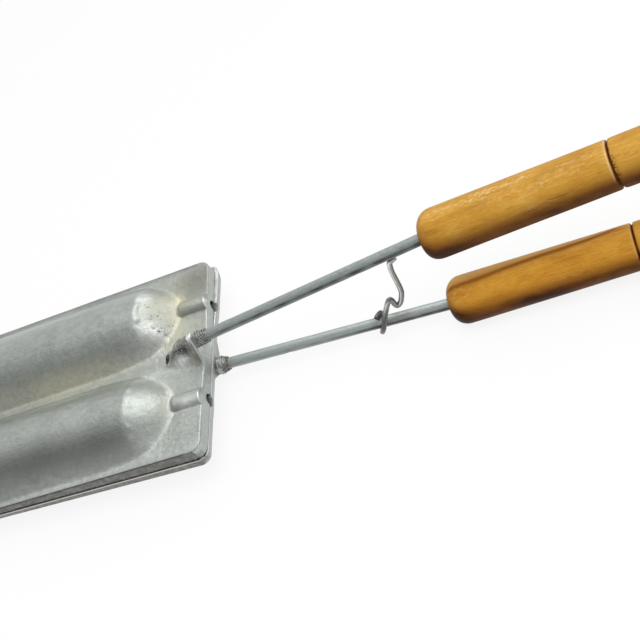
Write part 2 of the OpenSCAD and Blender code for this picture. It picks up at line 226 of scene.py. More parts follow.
def outerFace(x, y, half):
    front = plates["edge"] - half["draft"]
    rim = plates["rim"]
    z = half["farThick"] + (rim - half["farThick"]) * (x + plates["length"]) / (front + plates["length"])
    fillet = plates["footFillet"] + (plates["sideFillet"] - plates["footFillet"]) * ramp(nearEnd + 6 - x, 0, 25)
    for side in (-1, 1):
        z = smoothMax(z, barrel(x, y, side, bulgeRadius), fillet)
    for side in (-1, 1):
        across = abs(y - side * plates["pitch"] / 2 - plates["stickShift"]) / (plates["ridgeRadius"] + 0.4)
        if x > nearEnd and across < 1:
            low = rim - 3
            end, full = half["ridgeStop"]
            top = low + (plates["ridgeHeight"] + 1.6) * (1 - across ** 2.4) ** 0.5 * ramp(-x, -end, -full)
            z = smoothMax(z, top - 7 * (1 - ramp(x, -20.5, -15.5)), plates["ridgeFillet"])
    back = (front - x) / bosses["length"]
    off = abs(y - rods["side"])
    width = half["bossReach"][1 if y > rods["side"] else 0]
    if back < 1.2 and off < width + 2:
        crest = half["rodHeight"] + bosses["rise"]
        rise = crest - rim
        slope = rise / (width - bosses["crest"] / 2)
        roof = crest - slope * max(off - bosses["crest"] / 2, 0)
        spine = rim + rise * between(back, [(0, 1), (0.45, 0.78), (0.8, 0.32), (1, -0.08), (1.2, -0.5)])
        reach = width * between(back, [(0, 1), (0.6, 0.86), (1, 0.4), (1.2, 0.1)])
        mound = smoothMin(smoothMin(roof, spine, 2.2), rim + (reach - off) * 1.8, 2.2)
        rough = noise.noise(Vector((x * 0.4, y * 0.5, half["seed"]))) * bosses["lump"] * 2
        rough += noise.noise(Vector((x * 1.1, y * 1.3, half["seed"]))) * bosses["lump"]
        rough += noise.noise(Vector((x * 2.3, y * 2.6, half["seed"]))) * bosses["lump"] * 0.5
        mound += rough * ramp(front - x, 0.8, 4.5) * (0.4 + 0.6 * ramp(rods["side"] - y, 0, 4))
        z = smoothMax(z, mound, bosses["fillet"])
    z += 0.12 * (noise.noise(Vector((x * 0.06, y * 0.07, half["seed"]))) - 1)
    z += 0.04 * (noise.noise(Vector((x * 0.4, y * 0.4, half["seed"]))) - 1)
    if half["up"] > 0:
        z -= pitted(x, y)
    return z


def seamFace(x, y, half):
    # the halves close tighter at the handle end
    z = plates["gap"] / 2 * (1 - 0.75 * ramp(x, -5, -1.5) * ramp(y, -30, 0))
    for side in (-1, 1):
        z = smoothMax(z, barrel(x, y, side, bulgeRadius - plates["wall"]), 0.6)
        across = abs(y - side * plates["pitch"] / 2 - plates["stickShift"] - half["stickOff"])
        if x > nearEnd and across < plates["stickRadius"]:
            flare = 1 + half["mouth"] * ramp(x, -5, -0.5)
            z = max(z, flare * sqrt(plates["stickRadius"] ** 2 - across ** 2))
    return z


def planPoint(u, v, level, inset, half):
    # u and v run from 0 to 1; level is 0 at the outer face and 1 at the seam, where the draft ends
    low = -plates["length"] - plates["sideDraft"] * level + inset
    high = plates["edge"] - half["draft"] * (1 - level) - inset
    wide = plates["width"] / 2 + plates["sideDraft"] * level - inset
    y = wide * (2 * v - 1)
    faceOut, seamOut = half["farOut"]
    high += (faceOut + (seamOut - faceOut) * level) * ramp(y, 5, 48)
    high += half["middleOut"] * (1 - level) * exp(-((y - 6) / 24) ** 2)
    r = half["corner"] - inset
    x = low + (high - low) * u
    middle, reach = (low + high) / 2, (high - low) / 2
    over, up = abs(x - middle) - (reach - r), abs(y) - (wide - r)
    if over > 0 and up > 0:
        a, b = over / r, up / r
        over, up = a * sqrt(1 - b * b / 2) * r, b * sqrt(1 - a * a / 2) * r
        x = middle + (reach - r + over) * (1 if x > middle else -1)
        y = (wide - r + up) * (1 if y > 0 else -1)
    return x, y


def castingBody(bm, half):
    columns = gridLines(plates["columns"], lambda p: 1 + 2 / (1 + exp((0.74 - p) * 40)) + (0.6 if p < 0.06 else 0))
    ridgeAt = [0.5 + (s * plates["pitch"] / 2 + plates["stickShift"]) / plates["width"] for s in (-1, 1)]
    rows = gridLines(plates["rows"], lambda p: 1 + 0.7 * exp(-((p - 0.5) / 0.075) ** 2)
                     + sum(0.9 * exp(-((p - r) / 0.055) ** 2) for r in ridgeAt))
    bmesh.ops.create_grid(bm, x_segments=plates["columns"], y_segments=plates["rows"], size=0.5)
    layer = bm.verts.layers.float_vector.new("plan")
    for v in bm.verts:
        v[layer] = (columns[round((v.co.x + 0.5) * plates["columns"])], rows[round((v.co.y + 0.5) * plates["rows"])], 0)
    copied = bmesh.ops.duplicate(bm, geom=bm.verts[:] + bm.edges[:] + bm.faces[:])["geom"]
    seamVerts = [g for g in copied if isinstance(g, bmesh.types.BMVert)]
    seamSet = set(seamVerts)
    topVerts = [v for v in bm.verts if v not in seamSet]
    radius = plates["rimRound"]

    def lean(x, z):
        return bosses["lean"] * max(z - plates["rim"], 0) * ramp(x, -9, -1)
    for v in topVerts:
        x, y = planPoint(v[layer].x, v[layer].y, 0, radius, half)
        z = outerFace(x, y, half)
        v.co = (x - lean(x, z), y, z)
    for v in seamVerts:
        lip = plates["lipRound"][v[layer].x > 0.99]
        x, y = planPoint(v[layer].x, v[layer].y, 1, lip, half)
        v.co = (x, y, seamFace(x, y, half))
    # the rim: a rounded edge, the wall with its draft and a small round at the seam
    edges = [e for e in bm.edges if e.is_boundary and e.verts[0] not in seamSet]
    tops = {tuple(v[layer]): v.co.z for e in edges for v in e.verts}
    rings = [("round", a) for a in (30, 60, 90)] + [("wall", k / 7) for k in range(1, 8)]
    rings += [("lip", a) for a in (30, 60, 90)]
    for kind, share in rings:
        made = bmesh.ops.extrude_edge_only(bm, edges=edges)["geom"]
        edges = [g for g in made if isinstance(g, bmesh.types.BMEdge) and g.is_boundary]
        for v in {v for e in edges for v in e.verts}:
            u, w = v[layer].x, v[layer].y
            top = tops[tuple(v[layer])]
            lip = plates["lipRound"][u > 0.99]
            if kind == "round":
                a = radians(share)
                x, y = planPoint(u, w, 0, radius * (1 - sin(a)), half)
                z = top - radius * (1 - cos(a))
                v.co = (x - lean(x, z), y, z)
                continue
            x, y = planPoint(u, w, 1, lip, half)
            low = seamFace(x, y, half)
            if kind == "lip":
                a = radians(share)
                x, y = planPoint(u, w, 1, lip * (1 - cos(a)), half)
                v.co = (x, y, low + lip * (1 - sin(a)))
                continue
            z = top - radius + (low + lip - top + radius) * share
            face = half["farThick"] + (plates["rim"] - half["farThick"]) * u
            level = min(max((face - z) / (face - plates["gap"] / 2), 0), 1)
            worn = 0.12 + 0.12 * noise.noise(Vector((x * 0.25, y * 0.25, z * 0.5 + half["seed"])))
            x, y = planPoint(u, w, level, worn * (1 - share ** 4), half)
            v.co = (x - lean(x, z), y, z)
    bmesh.ops.remove_doubles(bm, verts=[v for v in bm.verts if v.is_boundary], dist=0.001)
    bm.verts.layers.float_vector.remove(layer)


def knuckle(bm, middle, width, farThick):
    # a full ring round the pin and the arm that joins it to the plate
    r = hinge["knuckle"]
    start = asin(plates["gap"] / 2 / r)
    outline = [(pinX + r * cos(a), r * sin(a))
               for a in (start - (start + 1.5 * pi) * i / 40 for i in range(41))]
    outline += [(-plates["length"] + 3, farThick - 0.2), (-plates["length"] + 3, plates["gap"] / 2)]
    hole = hinge["pin"] + hinge["fit"]
    bore = [(pinX + hole * cos(2 * pi * i / 40), hole * sin(2 * pi * i / 40)) for i in range(40)]
    edges = []
    for loop in (outline, bore):
        verts = [bm.verts.new((x, middle - width / 2, z)) for x, z in loop]
        edges += [bm.edges.new((verts[i - 1], verts[i])) for i in range(len(verts))]
    cap = bmesh.ops.triangle_fill(bm, edges=edges, use_beauty=True)["geom"]
    faces = [g for g in cap if isinstance(g, bmesh.types.BMFace)]
    made = bmesh.ops.extrude_face_region(bm, geom=faces, use_keep_orig=True)["geom"]
    far = [g for g in made if isinstance(g, bmesh.types.BMVert)]
    bmesh.ops.translate(bm, verts=far, vec=(0, width, 0))
    mine = set(far) | {v for f in faces for v in f.verts}
    rims = [e for e in bm.edges if e.verts[0] in mine and len(e.link_faces) == 2
            and degrees(e.calc_face_angle(0)) > 60 and abs(e.verts[0].co.y - e.verts[1].co.y) < 0.01]
    bmesh.ops.bevel(bm, geom=rims, offset=0.45, offset_type="OFFSET", affect="EDGES", segments=3,
                    profile=0.5, material=-1, clamp_overlap=True)


def collar(bm, half):
    # rough metal drawn up round the rod where it leaves the boss
    r, out = half["collarRadius"], half["collarOut"]
    start, count = -3, 30
    profile = [(start, 2)]
    profile += [(start + (out - start) * i / count, r - half["collarTaper"] * ramp(i / count, 0.5, 1)) for i in range(count + 1)]
    for v in lathe(bm, profile + [(out + 0.1, 2.6)], 40, True):
        if hypot(v.co.y, v.co.z) > 2.8:
            ring = 0.2 * sin(2 * pi * (v.co.x / 1.15 + around(v.co) / 120))
            low = 0.75 * noise.noise(Vector((v.co.x * 0.35, v.co.y * 0.4, v.co.z * 0.4 + half["seed"])))
            fine = 0.55 * noise.noise(Vector((v.co.x * 1.1, v.co.y * 1.2, v.co.z * 1.2 + half["seed"])))
            swell(v, ring + low + fine)
        v.co = headed((0, rods["side"], half["rodHeight"]), half["rodRise"], half["rodTurn"]) @ v.co


def casting(half, material):
    bm = bmesh.new()
    castingBody(bm, half)
    for middle, width in half["knuckles"]:
        knuckle(bm, middle, width, half["farThick"])
    collar(bm, half)
    bmesh.ops.scale(bm, vec=(1, 1, half["up"]), verts=bm.verts)
    upper = half["up"] > 0
    warmSpots = [(-88, 5.5, 42, 5.5, 1), (-27, 36, 8, 13, 0.45), (-18.7, 24, 6, 9, 0.6), (-18.5, 37, 3.5, 4.5, 0.9),
                 (-22, -26, 7, 12, 0.2), (-23, 10, 6, 6, 0.5), (-12, 16, 9, 6, 0.35), (-150, 2, 20, 8, 0.4),
                 (-12, 46, 16, 12, 0.15), (-10, 31, 8, 4, 0.3)]
    sootSpots = [(-23.3, 0.9, 1, 2.8, 2.5), (-10, -3.4, 6, 1.5, 0.85), (-5, -4.6, 3, 1.1, 0.5),
                 (-16, -1.5, 3, 2, 0.6), (-25, 17.5, 4, 2.5, 0.3), (-15.5, 31, 4, 5, 0.2)]
    # painted highlights: spots on the top that are painted lighter where light catches the metal
    highlightSpots = [(-7, 28.3, 7, 2.2, 0.1), (-7, -31.6, 7, 2.8, 0.7), (-90, -6.5, 65, 4, 0.35), (-90, 6, 65, 4, 0.25),
                  (-35, 9, 12, 7, 0.35), (-31, 20, 5, 3, 0.6), (-26.5, 17, 4.5, 2.6, 0.8), (-23, 31, 6, 9, 0.25), (-35.5, 40, 4, 5, 0.7), (-30, -50, 10, 6, 0.35), (-38, -10, 14, 5, 0.35), (-90, -57, 85, 4, 0.4),
                  (-11, -6.4, 2.6, 1.3, 1.1), (-15, -6.5, 5, 2.6, 0.35), (-8, -9, 6, 1.5, 0.2)]
    brownSpots = [(-3, -7, 4, 2, 0.8), (-19, -4, 5, 4, 0.35), (2.5, 0.5, 4, 5, 0.15), (-8, 47, 14, 12, 0.12),
                  (-10, 0, 5, 3, 0.5)]
    rim = plates["rim"]

    def onTop(c, spots):
        if c.z < rim - 4.5:
            return 0
        return min(sum(blob(c.x, c.y, spot) for spot in spots), 1.6)

    def onWall(c):
        return max(abs(c.y) - plates["width"] / 2 + 0.7, c.x + 0.9) > 0 and abs(c.z) < rim - 0.4

    def tarnishAndShade(c):
        # painted shade, partly tarnish: the walls and the slopes that face the near edge are painted darker than the
        # tops, and the far flat, the far edge, the boss and the ridges get some painted shade too
        if onWall(c):
            return (1 if c.y < 0 else 0.5) if c.x < -1.5 else 0
        total = 0.75 * blob(c.x, c.y, (-8, 47, 15, 12, 1)) * upper
        total += 0.28 * (c.x > -1 - bosses["lean"] * max(c.z - rim, 0)) * (c.z > rim + 1)
        total += 0.5 * ramp(c.y, plates["width"] / 2 - 3.5, plates["width"] / 2 - 1) * (c.x < -8)
        total += 0.7 * blob(c.x, c.y, (-5, -1, 5, 2.5, 1)) * (c.z > rim + 5) * (c.x < -1.5)
        for side in (-1, 1):
            total += 0.25 * blob(c.x, c.y, (-10, side * plates["pitch"] / 2 + 0.6, 6, 4, 1)) * upper
            across = (c.y - side * plates["pitch"] / 2) / (plates["bulgeWidth"] / 2)
            along = between(c.x, [(farEnd - 25, 0), (farEnd + 25, 1), (nearEnd - 5, 1), (nearEnd + 14, 0.1)])
            total += ((0.1 if side > 0 else 0.6) if upper else 0.15) * exp(-((across + 0.6) / 0.27) ** 2) * along
        return total if abs(c.z) > rim * 0.6 else 0.35

    def sootAndShade(c):
        # painted shade: the walls are darkened along the seam line and the pits inside; the seam faces, the collar's
        # rings and the spots on the boss are soot
        if not onWall(c):
            ringed = c.x > 1 and abs(c.z) > rim and sin(c.x * 4.6 + c.y * 2 + c.z * 1.6) > 0.2
            inPits = pitted(c.x, c.y) * 1.5 if upper and c.z > rim else 0
            inSeam = abs(c.z) < plates["gap"] and -plates["length"] - 1 < c.x < -1.8
            return 0.65 if inSeam else (onTop(c, sootSpots) if upper else 0) + 0.8 * ringed + inPits
        reach = 1.5 if upper else 0.35
        return (0.95 if c.x < -3 else 0.1) * ramp(-abs(c.z), -reach, -reach * 0.6)

    def paintedHighlights(c):
        # painted highlights: a lit line on the lower half's lip, a patch on the front wall, the lit crest along the
        # front edge and the listed light spots on the top
        if onWall(c):
            if c.x > -4:
                return 0.75 if not upper and c.z > -0.7 else 0.12 + upper * blob(c.y, c.z, (4.7, 1.7, 4, 0.8, 0.8))
            return 0 if upper else 0.9 * exp(-((abs(c.z) - 0.95) / 0.4) ** 2)
        if not upper or c.z < 3:
            return 0
        over = max(c.z - rim, 0)
        front = plates["edge"] - half["draft"] + half["middleOut"] * exp(-((c.y - 6) / 24) ** 2)
        ahead = c.x + bosses["lean"] * over - front
        start = -1.0 - 2.2 * ramp(over, 9.5, 13)
        ridge = ramp(ahead, start, start + 0.3) * (1 - ramp(ahead, -0.25, -0.05)) * (over > 0.5)
        beside = (c.y - plates["stickShift"]) % plates["pitch"] - plates["pitch"] / 2
        ridge *= 1 - 0.85 * ramp(beside, -0.5, 1) * (beside < 8)
        return ridge + min(sum(blob(c.x, c.y, spot) for spot in highlightSpots), 1)

    paint(bm, "brown", lambda c: onTop(c, brownSpots) if upper else 0.45 * (c.x > 1.2) * (c.z < -rim))

    def coarsened(c):
        if c.x > 1.2:
            return 0.8
        if c.z < rim - 1:
            return 0.7 * (not upper) * (c.x > -12) * (-3 < c.z < -0.3)
        boss = ramp(blob(c.x, c.y, (-11, -1, 13, 10, 1)), 0.3, 0.6) * (c.x < -0.9 - bosses["lean"] * (c.z - rim))
        capped = blob(c.x, c.y, (-25, 30, 8, 13, 0.75)) + blob(c.x, c.y, (-9, 31, 9, 4, 0.5))
        return min(boss + capped + blob(c.x, c.y, (-9, -29, 9, 4, 0.85)), 1)
    paint(bm, "coarse", coarsened)
    paint(bm, "warm", lambda c: onTop(c, warmSpots))
    paint(bm, "soot_and_shade", sootAndShade)
    paint(bm, "tarnish_and_shade", tarnishAndShade)
    paint(bm, "painted_highlight", paintedHighlights)
    bmesh.ops.transform(bm, matrix=toRow, verts=bm.verts)
    finishPiece(bm, half["name"], half["body"], half["node"], material, 50)


def barPiece(rod, material):
    # the threaded bar, then its tang through the grip, peened over the washer
    r, tang = rods["radius"], rods["tang"]
    stem = grips["length"] + grips["washer"]
    bm = bmesh.new()
    fine = rods["pitch"] / 8
    xs = [-rods["threadIn"] + i * fine for i in range(int((rods["threadIn"] + rods["threadOut"]) / fine) + 1)]
    xs += [xs[-1] + 1.6 * i for i in range(1, int((rod["length"] - xs[-1]) / 1.6) + 1)]
    xs.append(rod["length"])
    for v in lathe(bm, [(xs[0], 0)] + [(x, r) for x in xs] + [(rod["length"], 0)], 40):
        if hypot(v.co.y, v.co.z) < 1:
            continue
        if v.co.x < rods["threadOut"]:
            phase = (v.co.x / rods["pitch"] - around(v.co) / 360) % 1
            swell(v, -rods["depth"] * (1 - abs(2 * phase - 1)))
            continue
        swell(v, 0.05 * (noise.noise(Vector((v.co.x * 0.12, v.co.y * 0.5, v.co.z * 0.5 + rod["seed"]))) - 1))
        if rod["nick"]:
            swell(v, -blob(v.co.x, around(v.co), (rod["nick"][0], rod["nick"][1], rod["nick"][2], 16, rod["nick"][3])))
    bmesh.ops.transform(bm, matrix=headed((0, rods["side"], rod["height"]), rod["rise"], rod["turn"]), verts=bm.verts)
    spot = Vector((0, rods["side"], rod["height"])) + rod["length"] * heading(rod["rise"], rod["turn"])
    gripPlace = headed(spot + rods["seat"] * heading(rod["gripRise"], rod["gripTurn"]), rod["gripRise"], rod["gripTurn"])
    head, high = rods["headRadius"], rods["headHeight"]
    ball = (head ** 2 + high ** 2) / (2 * high)
    dome = [(stem + high - ball * (1 - cos(a)), ball * sin(a))
            for a in (asin(head / ball) * (1 - i / 14) for i in range(15))]
    for v in lathe(bm, [(-r, 0), (-r, tang), (stem, tang), (stem, head)] + dome, 40):
        if v.co.x > stem + 0.3:
            # hammer marks
            v.co.x -= 0.18 * abs(noise.noise(Vector((v.co.y * 0.55, v.co.z * 0.55, rod["seed"])))) * (v.co.x - stem)
        v.co = gripPlace @ v.co
    nick = rod["nick"] or (-99, 0, 1, 0)
    own = headed((0, rods["side"], rod["height"]), rod["rise"], rod["turn"]).inverted()
    paint(bm, "rust", lambda c: min(1, 0.9 * exp(-((c.x - 4) / 3.5) ** 2) + 0.35 * (c.x > rod["length"] - 1)
                                    + 1.1 * exp(-((c.x - nick[0]) / 1.3) ** 2) * (c.z < rod["height"] - 1)
                                    + rod["stains"] * (exp(-((c.x - 103) / 5) ** 2) + exp(-((c.x - 89) / 2) ** 2))))
    # painted shade: a dark band along the side toward the near edge
    at, wide = rod["shadeAngle"]

    def lined(c):
        share = between(c.x, rod["line"]) * (1 + 0.7 * noise.noise(Vector((c.x * 0.14, 3, rod["seed"]))))
        angle = around(own @ c)
        off = (angle - at - 0.08 * c.x) / (wide + 0.06 * c.x)
        return share * exp(-(off if off < 0 else off / 3) ** 2) + 1.5 * blob(c.x, angle, (nick[0], nick[1] - 8, 1.1, 14, 1))
    paint(bm, "line", lined)
    # painted light: the lower bar is painted lighter than the upper one
    paint(bm, "painted_light", lambda c: rod["painted_light"])
    bmesh.ops.transform(bm, matrix=toRow, verts=bm.verts)
    finishPiece(bm, rod["name"], rod["body"], rod["node"], material, 40)
    return gripPlace


def washerPiece(name, node, body, place, material):
    r, bore, x = grips["washerRadius"], rods["tang"] + rods["fit"], grips["length"]
    soft = 0.25
    bm = bmesh.new()
    corners = [(x + soft, r - soft, 180, 90), (x + grips["washer"] - soft, r - soft, 90, 0)]
    rounds = [(cx + soft * cos(radians(a + (b - a) * i / 4)), cr + soft * sin(radians(a + (b - a) * i / 4)))
              for cx, cr, a, b in corners for i in range(5)]
    lathe(bm, [(x, bore)] + rounds + [(x + grips["washer"], bore)], 64, True)
    for v in bm.verts:
        if v.co.x > x + grips["washer"] * 0.7:
            v.co.x -= 0.06 * abs(noise.noise(Vector((v.co.y * 0.8, v.co.z * 0.8, 2))))
    paint(bm, "rust", lambda c: 0.25 + 0.5 * ramp(hypot(c.y, c.z), r - 1.2, r))
    bmesh.ops.transform(bm, matrix=toRow @ place, verts=bm.verts)
    finishPiece(bm, name, body, node, material)


def pinPiece(material):
    r, half = hinge["pin"], hinge["pinLength"] / 2
    head, high = hinge["headRadius"], hinge["headHeight"]
    ball = (head ** 2 + high ** 2) / (2 * high)
    dome = [(half + high - ball * (1 - cos(a)), ball * sin(a)) for a in (asin(head / ball) * i / 14 for i in range(15))]
    bm = bmesh.new()
    shank = [(half, r)] + [(half - hinge["pinLength"] * i / 30, r) for i in range(1, 30)] + [(-half, r)]
    for v in lathe(bm, dome + shank + [(-x, y) for x, y in reversed(dome)], 40):
        marks = noise.noise(Vector((v.co.x, v.co.y * 0.7, v.co.z * 0.7)))
        v.co.x -= 0.16 * abs(marks) * (abs(v.co.x) > half + 0.4) * (1 if v.co.x > 0 else -1)
        if abs(v.co.x) < half:
            swell(v, -0.02 * abs(marks))
    paint(bm, "rust", lambda c: 0.3 + 0.6 * exp(-((abs(c.x) - half) / 1.2) ** 2))
    turn = Matrix.Translation((pinX, 0, 0)) @ Matrix.Rotation(pi / 2, 4, "Z")
    bmesh.ops.transform(bm, matrix=toRow @ turn, verts=bm.verts)
    finishPiece(bm, "pivot_pin", "lower_half", "hinge_pin", material, 40)


# spots on a grip: (place along it, angle round it, half length, half angle, amount)
# each grip also gives the angles where the painted shade underneath starts and is full, its amount, and the amount at
# the bar end
upperGrip = dict(name="upper_handle", node="upper_grip", body="upper_half", seed=4, tornGroove=1, strip=0,
                 under=(131, 188, 0.9, 0.55), corner=0.25,
                 scrapes=[(35, 83, 6, 13, 1.3), (22, 88, 7, 10, 0.35), (12, 81, 5, 14, 0.45), (49, 83, 6, 10, 0.6),
                          (56, 82, 4, 9, 0.45), (86, 93, 4, 8, 0.5), (63, 119, 4, 8, 0.4), (79, 114, 4, 7, 0.4),
                          (72, 88, 8, 9, 0.35), (70, 105, 14, 14, 0.2), (58, 158, 12, 5, 0.5), (45, 112, 10, 6, 0.25)],
                 cracks=[(57, 161, 13, 4, 1), (48, 168, 8, 3, 0.8), (67, 155, 7, 2.5, 0.9), (33, 154, 8, 2.5, 0.5)])
lowerGrip = dict(name="lower_handle", node="lower_grip", body="lower_half", seed=19, tornGroove=0.2, strip=1,
                 under=(125, 182, 0.98, 0.4), corner=0.05,
                 scrapes=[(8, 120, 6, 22, 0.3), (60, 150, 10, 8, 0.25)],
                 cracks=[(64, 152, 6, 3, 0.6), (80, 158, 10, 3, 0.4), (28, 150, 10, 3, 0.25)])


def gripOutline():
    big, neck, shoulder, end = grips["radius"], grips["neck"], grips["shoulder"], grips["endRound"]
    at, deep, wide = grips["grooveAt"], grips["grooveDepth"], grips["grooveWidth"]
    last, bore = grips["length"], rods["tang"] + rods["fit"]
    line = [(shoulder - shoulder * cos(radians(a)), big - shoulder + shoulder * sin(radians(a)))
            for a in range(0, 91, 6)]

    def taper(x):
        return big + (neck - big) * min((x - shoulder) / (at - shoulder), 1)
    edge = at - 0.5 * wide
    line += [(x, taper(x)) for x in (shoulder + (edge - shoulder) * i / 96 for i in range(1, 96))]
    groove = [(-0.5, -0.06), (-0.42, -0.16), (-0.3, -0.45), (-0.12, -0.88), (0, -1), (0.12, -0.88), (0.3, -0.45),
              (0.42, -0.16), (0.5, -0.06)]
    line += [(at + wide * share, neck + deep * low) for share, low in groove]
    flat = last - end - edge - wide
    line += [(edge + wide + flat * i / 22, neck) for i in range(1, 23)]
    line += [(last - end + end * sin(radians(a)), neck - end + end * cos(radians(a))) for a in range(9, 91, 9)]
    return [(0, bore)] + line + [(last, bore)]


def gripPiece(grip, place, material):
    bm = bmesh.new()
    at, seed = grips["grooveAt"], grip["seed"]
    for v in lathe(bm, gripOutline(), 150, True):
        r = hypot(v.co.y, v.co.z)
        if r < rods["tang"] + 0.5:
            continue
        a, x = around(v.co), v.co.x
        if x < grips["shoulder"]:
            # the rounding at the bar is tighter on the side toward the near edge
            side = 1 - grip["corner"] * (0.5 - 0.5 * cos(radians(a - 41)))
            t = acos(min(max(1 - x / grips["shoulder"], 0), 1))
            v.co.x = x = grips["shoulder"] * (1 - cos(t) ** side)
            swell(v, grips["shoulder"] * (sin(t) ** side - sin(t)) * ramp(r, 3, grips["radius"] - grips["shoulder"]))
        # hand-turned and worn: low waves, shallow scrapes, cracks and the torn side of the groove
        change = 0.09 * (noise.noise(Vector((x * 0.03, v.co.y * 0.1, v.co.z * 0.1 + seed))) - 1)
        flake = max(noise.noise(Vector((x * 0.35, v.co.y * 0.8, v.co.z * 0.8 + seed))), 0)
        change -= 0.35 * flake * min(sum(blob(x, a, spot) for spot in grip["scrapes"]), 1)
        line = max(noise.noise(Vector((x * 0.12, v.co.y * 1.6, v.co.z * 1.6 - seed))), 0)
        change -= 0.7 * line * min(sum(blob(x, a, spot) for spot in grip["cracks"]), 1)
        if r > grips["neck"] - grips["grooveDepth"] - 0.3 and at - 1 < x < at + 4:
            torn = max(noise.noise(Vector((x * 0.5, a * 0.09, seed))) + 0.25, 0)
            change -= grip["tornGroove"] * 1.1 * torn * ramp(x, at - 0.2, at + 0.7) * (1 - ramp(x, at + 1.2, at + 3.2)) \
                * (0.3 + 0.7 * exp(-((a - 150) / 45) ** 2))
            v.co.x += 0.16 * noise.noise(Vector((x * 0.3, a * 0.06, seed + 5))) * (1 + grip["tornGroove"])
        swell(v, change)
    paint(bm, "scraped", lambda c: min(1, sum(blob(c.x, around(c), s) for s in grip["scrapes"])
                                       + 0.25 * exp(-(c.x / 4) ** 2)))
    paint(bm, "rim", lambda c: exp(-((c.x - at + 1.15) / 0.4) ** 2) * (0.9 if grip["tornGroove"] == 1 else 0.4))
    paint(bm, "torn", lambda c: grip["tornGroove"] * exp(-((c.x - at - 1.1) / 0.9) ** 2)
          * exp(-((around(c) - 142) / 34) ** 2))
    paint(bm, "cracked", lambda c: min(1, sum(blob(c.x, around(c), s) for s in grip["cracks"])
                                       + 0.6 * exp(-(c.x / 3) ** 2)))
    # painted shade, with some grime at the ends: the underside, the far top edge, the groove and the end toward the bar
    # are painted darker
    first, last, high, shoulder = grip["under"]
    paint(bm, "grime_and_shade", lambda c: min(1, 1.8 * max(0, 1 - abs(c.x - at) / (0.42 * grips["grooveWidth"]))
                                     + high * ramp(around(c), first, last) * (1 - ramp(around(c), 205, 275))
                                     + shoulder * exp(-(c.x / 9) ** 2) * ramp(around(c), 95, 165) * (around(c) < 260)
                                     + 0.4 * (1 - ramp(abs(around(c) - 30), 6, 30)) + 0.35 * exp(-(c.x / 3.5) ** 2)
                                     + 0.6 * (1 - ramp(hypot(c.y, c.z), 3, 7)) * (c.x < 6)))

    def strip(c):
        # a brown line that runs along the far side, with a greyer band beyond it
        return (around(c) - between(c.x, [(0, 95), (3, 93), (18, 89.5), (34, 82), (50, 76.5), (60, 76), (72, 73), (86, 62)])) / 30
    paint(bm, "seam", lambda c: 1.15 * grip["strip"] * exp(-(strip(c) / 0.25) ** 2) * ramp(c.x, -2, 5)
          * (1 - ramp(c.x, 84, 92)))
    paint(bm, "band", lambda c: grip["strip"] * ramp(-strip(c), 0.02, 0.3) * (1 - ramp(-strip(c), 1.6, 2.6)))
    bmesh.ops.transform(bm, matrix=toRow @ place, verts=bm.verts)
    finishPiece(bm, grip["name"], grip["body"], grip["node"], material, 60)


def latchRoute():
    # in the lower bar's own frame: x along it from the eye, y to the far side, z up
    low = Vector((0, rods["side"], lowerRod["height"]))
    top = Vector((0, rods["side"], upperRod["height"]))
    ring = rods["radius"] + latch["fit"] + latch["wire"]
    eye = [(1.2 * sin(radians(d)) + 0.6 - 0.045 * max(d - 50, 0), ring * cos(radians(d)), ring * sin(radians(d)))
           for d in range(98, -158, -16)]
    stem = [(2.2, -4.9, 1.5), (6.5, -4.1, 10.2), (10.6, -3.8, 17.4), (12.5, -3.2, 19.4), (13.2, -2.6, 17.6),
            (13.2, -2.2, 14), (14, -1.8, 12), (16.2, -1.2, 13.6), (18.6, -0.6, 18.6), (19.2, 0.2, 22),
            (19.3, 1.2, 27), (19.4, 2.3, 33)]
    tipX = 20.4
    reach = latch["at"] + tipX
    apart = top + reach * heading(upperRod["rise"], upperRod["turn"]) / cos(radians(upperRod["rise"])) \
        - low - reach * heading(lowerRod["rise"], lowerRod["turn"])
    tipY = apart.y - 0.7
    tipZ = apart.z - sqrt((ring + 0.1) ** 2 - (apart.y - tipY) ** 2)
    slope = sin(radians(upperRod["rise"] - lowerRod["rise"]))
    tip = [(tipX, tipY, tipZ - 0.5), (tipX + 1.6, tipY, tipZ + 0.2 + 1.6 * slope),
           (tipX + 3.9, tipY + 0.2, tipZ + 0.75 + 3.9 * slope)]
    return [Vector(p) for p in eye + stem + tip]


